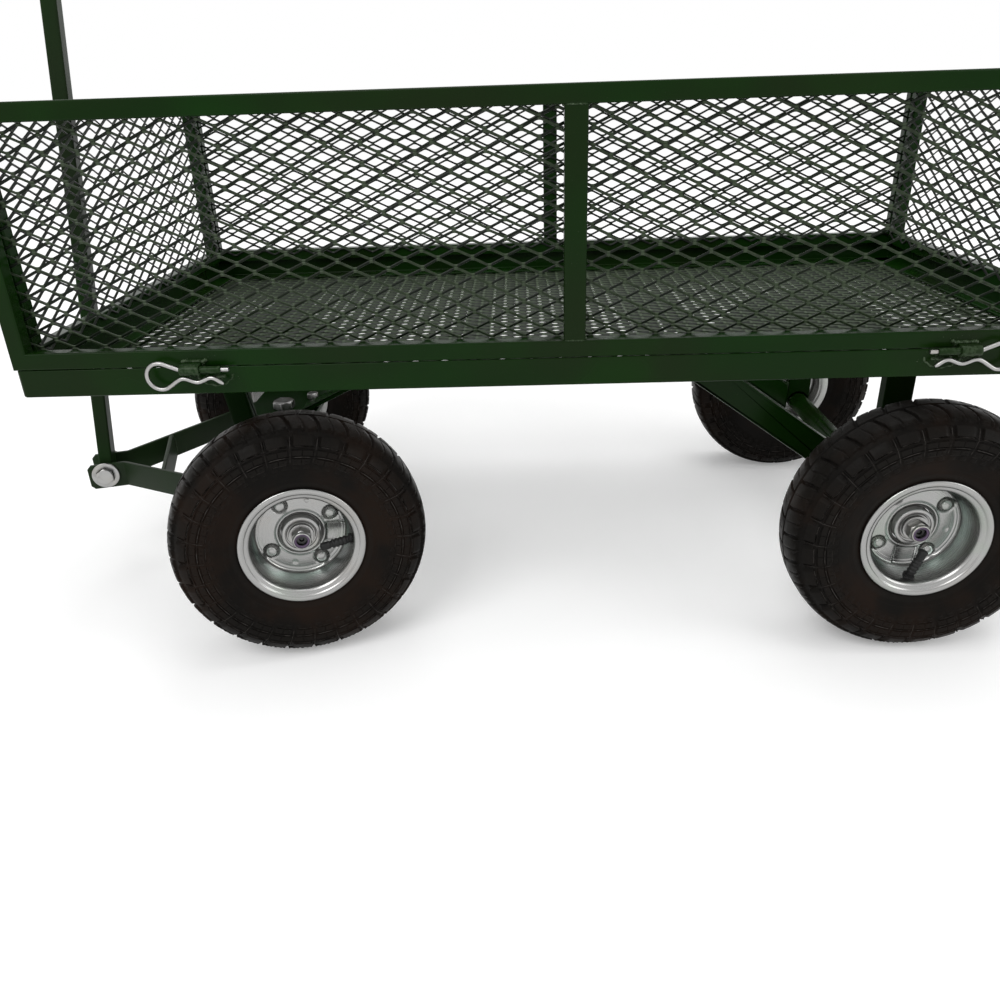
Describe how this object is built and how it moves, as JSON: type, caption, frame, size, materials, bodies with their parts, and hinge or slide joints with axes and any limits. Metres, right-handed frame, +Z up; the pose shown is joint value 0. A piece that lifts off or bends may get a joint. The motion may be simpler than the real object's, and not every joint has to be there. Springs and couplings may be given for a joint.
{
  "type": "garden cart",
  "caption": "Four-wheeled garden cart with a mesh tray, fold-down sides on hairpin pins, pneumatic tyres, a swivelling front axle and an upright pull handle.",
  "frame": {"origin": "middle of the bounding box in X and Y, on the ground the wheels stand on", "axes": "+X from the drawbar end towards the tailgate, +Y towards the cart's right side, +Z up"},
  "size_m": [1.0974, 0.5986, 0.9401],
  "materials": {
    "green_paint": "glossy dark green enamel",
    "mesh_paint": "glossy dark green enamel on expanded mesh",
    "zinc": "bright zinc plate",
    "rim_zinc": "bright zinc plate, smooth pressed steel",
    "tyre_rubber": "matt black tyre rubber",
    "valve_rubber": "matt black rubber",
    "grip": "matt black moulded grip"
  },
  "bodies": {
    "chassis": {"base_rail_left": "green_paint", "base_rail_right": "green_paint", "base_rail_front": "green_paint", "base_rail_rear": "green_paint", "deck_mesh": "mesh_paint", "crossbar_front": "green_paint", "crossbar_rear": "green_paint", "panel_front_frame": "green_paint", "panel_front_mesh": "mesh_paint", "rear_axle_support": "green_paint", "rear_brace_left": "green_paint", "rear_brace_right": "green_paint", "rear_axle": "green_paint", "axle_nut_rear_left": "zinc", "axle_nut_rear_right": "zinc", "front_axle_support": "green_paint", "front_brace": "green_paint", "king_bolt": "zinc", "king_nut": "zinc", "king_plate_bolt_left": "zinc", "king_plate_bolt_right": "zinc"},
    "steering": {"swivel_bracket": "green_paint", "front_axle": "green_paint", "drawbar": "green_paint", "handle_bolt": "zinc", "handle_nut": "zinc", "axle_nut_front_left": "zinc", "axle_nut_front_right": "zinc"},
    "handle": {"handle_stem": "green_paint", "handle_grip": "grip"},
    "wheel_front_left": {"tyre_front_left": "tyre_rubber", "rim_front_left": "rim_zinc", "hub_front_left": "zinc", "valve_front_left": "valve_rubber"},
    "wheel_front_right": {"tyre_front_right": "tyre_rubber", "rim_front_right": "rim_zinc", "hub_front_right": "zinc", "valve_front_right": "valve_rubber"},
    "wheel_rear_left": {"tyre_rear_left": "tyre_rubber", "rim_rear_left": "rim_zinc", "hub_rear_left": "zinc", "valve_rear_left": "valve_rubber"},
    "wheel_rear_right": {"tyre_rear_right": "tyre_rubber", "rim_rear_right": "rim_zinc", "hub_rear_right": "zinc", "valve_rear_right": "valve_rubber"},
    "side_left": {"panel_left_frame": "green_paint", "panel_left_mesh": "mesh_paint"},
    "side_right": {"panel_right_frame": "green_paint", "panel_right_mesh": "mesh_paint"},
    "tailgate": {"panel_rear_frame": "green_paint", "panel_rear_mesh": "mesh_paint"},
    "pin_left_a": {"clip_left_a": "zinc"},
    "pin_left_b": {"clip_left_b": "zinc"},
    "pin_right_a": {"clip_right_a": "zinc"},
    "pin_right_b": {"clip_right_b": "zinc"},
    "pin_front_a": {"clip_front_a": "zinc"},
    "pin_front_b": {"clip_front_b": "zinc"},
    "pin_rear_a": {"clip_rear_a": "zinc"},
    "pin_rear_b": {"clip_rear_b": "zinc"}
  },
  "joints": [
    {"name": "steer", "type": "hinge", "parent": "chassis", "child": "steering", "pos_m": [-0.31379, 0, 0.18], "axis": [0, 0, 1], "range_deg": [-32.2, 0]},
    {"name": "handle_tilt", "type": "hinge", "parent": "steering", "child": "handle", "pos_m": [-0.52448, -0.06082, 0.136], "axis": [0.2773, -0.9608, 0], "range_deg": [0, 104]},
    {"name": "spin_front_left", "type": "hinge", "parent": "steering", "child": "wheel_front_left", "pos_m": [-0.24751, -0.22963, 0.13], "axis": [-0.2773, 0.9608, 0], "continuous": true},
    {"name": "spin_front_right", "type": "hinge", "parent": "steering", "child": "wheel_front_right", "pos_m": [-0.38006, 0.22963, 0.13], "axis": [-0.2773, 0.9608, 0], "continuous": true},
    {"name": "spin_rear_left", "type": "hinge", "parent": "chassis", "child": "wheel_rear_left", "pos_m": [0.37921, -0.239, 0.13], "axis": [0, 1, 0], "continuous": true},
    {"name": "spin_rear_right", "type": "hinge", "parent": "chassis", "child": "wheel_rear_right", "pos_m": [0.37921, 0.239, 0.13], "axis": [0, 1, 0], "continuous": true},
    {"name": "side_left_fold", "type": "hinge", "parent": "chassis", "child": "side_left", "pos_m": [0.03271, -0.289, 0.325], "axis": [1, 0, 0], "range_deg": [0, 150]},
    {"name": "side_right_fold", "type": "hinge", "parent": "chassis", "child": "side_right", "pos_m": [0.03271, 0.289, 0.325], "axis": [-1, 0, 0], "range_deg": [0, 150]},
    {"name": "tailgate_fold", "type": "hinge", "parent": "chassis", "child": "tailgate", "pos_m": [0.54371, 0, 0.325], "axis": [0, 1, 0], "range_deg": [0, 175]},
    {"name": "pin_left_a_pull", "type": "slide", "parent": "chassis", "child": "pin_left_a", "axis": [-1, 0, 0], "range_m": [0, 0.045]},
    {"name": "pin_left_b_pull", "type": "slide", "parent": "chassis", "child": "pin_left_b", "axis": [1, 0, 0], "range_m": [0, 0.045]},
    {"name": "pin_right_a_pull", "type": "slide", "parent": "chassis", "child": "pin_right_a", "axis": [1, 0, 0], "range_m": [0, 0.045]},
    {"name": "pin_right_b_pull", "type": "slide", "parent": "chassis", "child": "pin_right_b", "axis": [-1, 0, 0], "range_m": [0, 0.045]},
    {"name": "pin_front_a_pull", "type": "slide", "parent": "chassis", "child": "pin_front_a", "axis": [0, 1, 0], "range_m": [0, 0.045]},
    {"name": "pin_front_b_pull", "type": "slide", "parent": "chassis", "child": "pin_front_b", "axis": [0, -1, 0], "range_m": [0, 0.045]},
    {"name": "pin_rear_a_pull", "type": "slide", "parent": "chassis", "child": "pin_rear_a", "axis": [0, -1, 0], "range_m": [0, 0.045]},
    {"name": "pin_rear_b_pull", "type": "slide", "parent": "chassis", "child": "pin_rear_b", "axis": [0, 1, 0], "range_m": [0, 0.045]}
  ]
}
